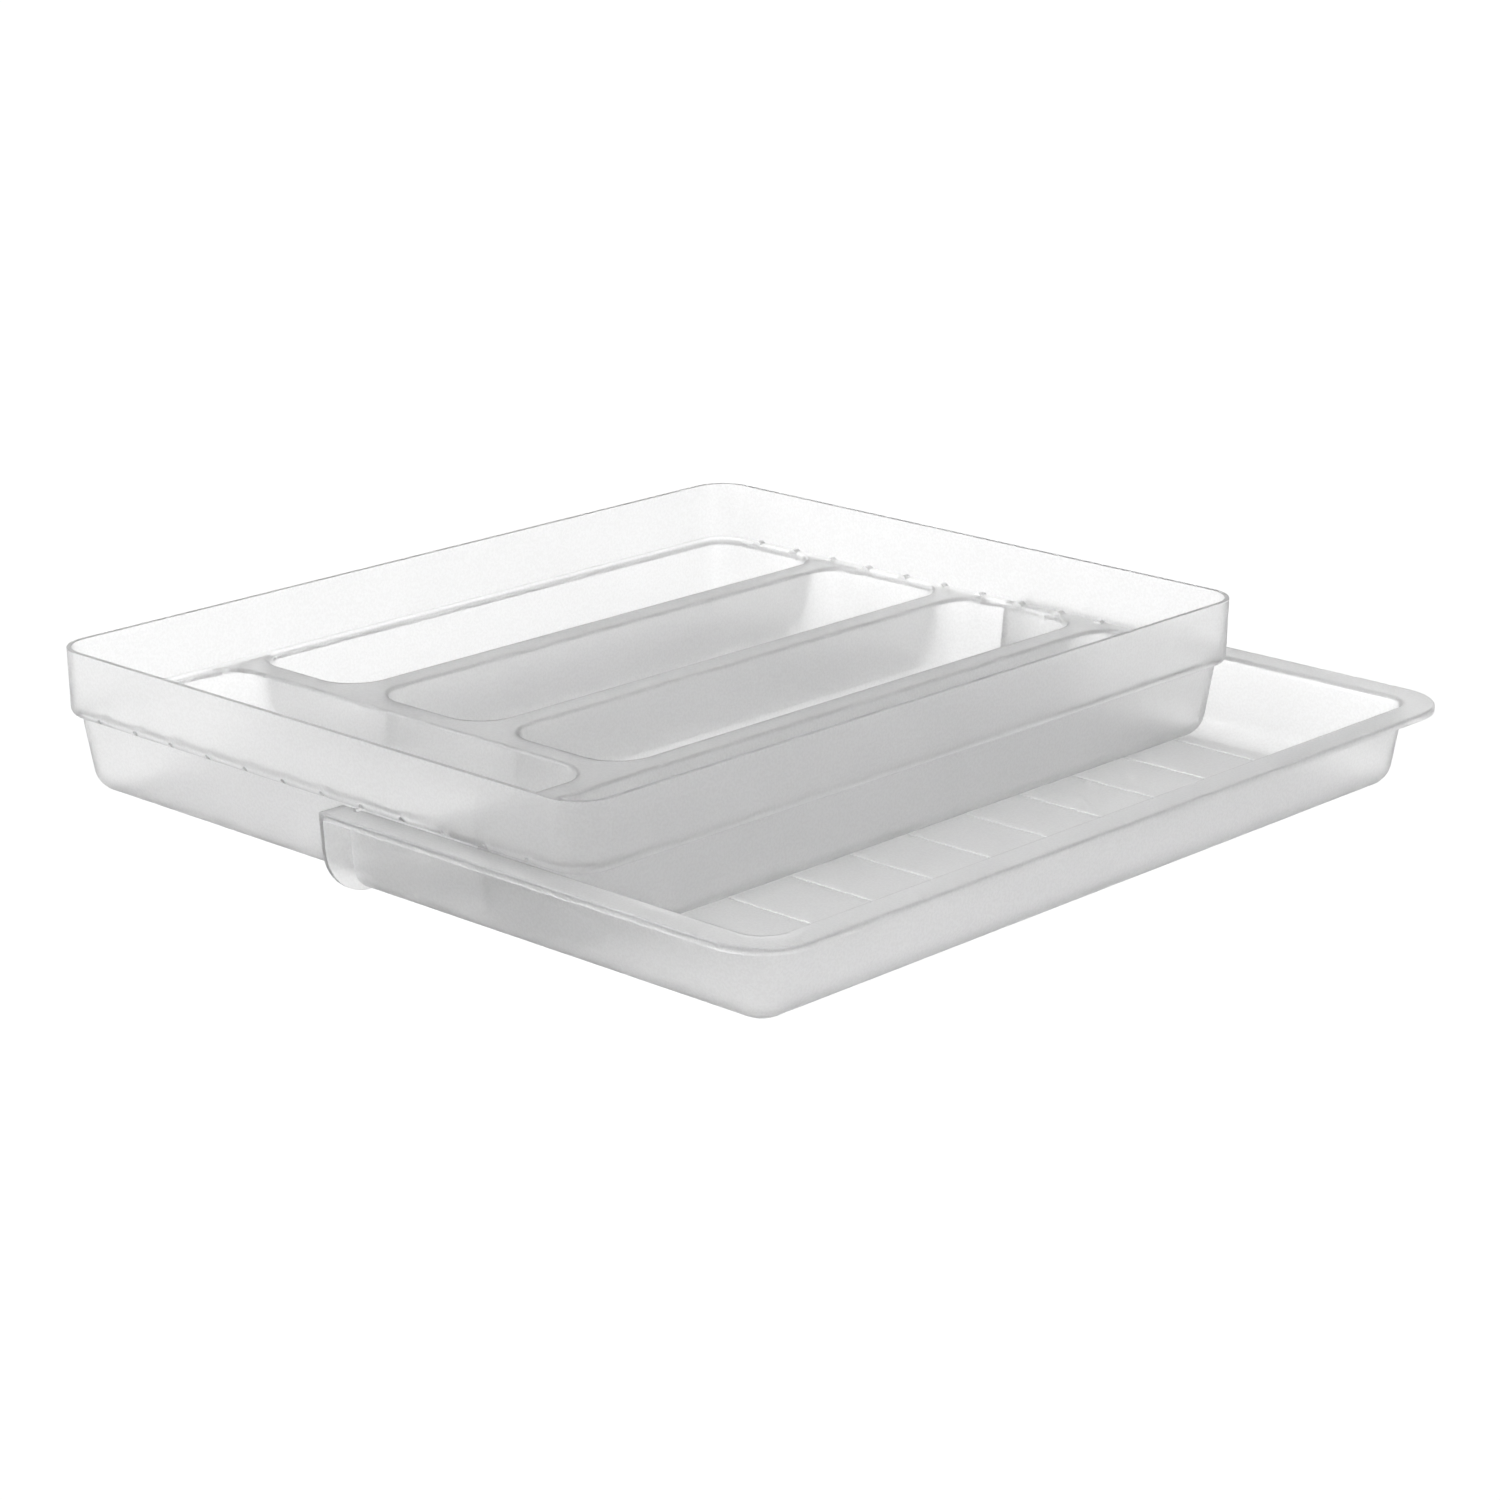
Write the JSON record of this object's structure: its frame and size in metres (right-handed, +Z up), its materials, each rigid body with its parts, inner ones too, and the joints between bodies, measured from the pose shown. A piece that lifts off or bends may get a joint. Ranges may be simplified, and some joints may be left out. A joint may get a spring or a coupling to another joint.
{
  "type": "expandable cutlery tray",
  "caption": "Expandable drawer tray for cutlery: a tray of rounded, drafted compartments under a tall rim slides along a shallow lipped extension tray, so the whole can be widened.",
  "frame": {"origin": "middle of the overall outline at rest, on the surface the tray stands on", "axes": "+X the way the extension tray is pulled out of the compartment tray, +Y along the long compartments, +Z up"},
  "size_m": [0.4034, 0.413, 0.0631],
  "materials": {
    "compartment_plastic": "frosted translucent polypropylene",
    "extension_plastic": "frosted translucent polypropylene"
  },
  "bodies": {
    "extension_body": {"extension_tray": "extension_plastic"},
    "compartment_body": {"compartment_tray": "compartment_plastic"}
  },
  "joints": [
    {"name": "extension_slide", "type": "slide", "parent": "extension_body", "child": "compartment_body", "axis": [-1, 0, 0], "range_m": [-0.0896, 0.0896]}
  ]
}
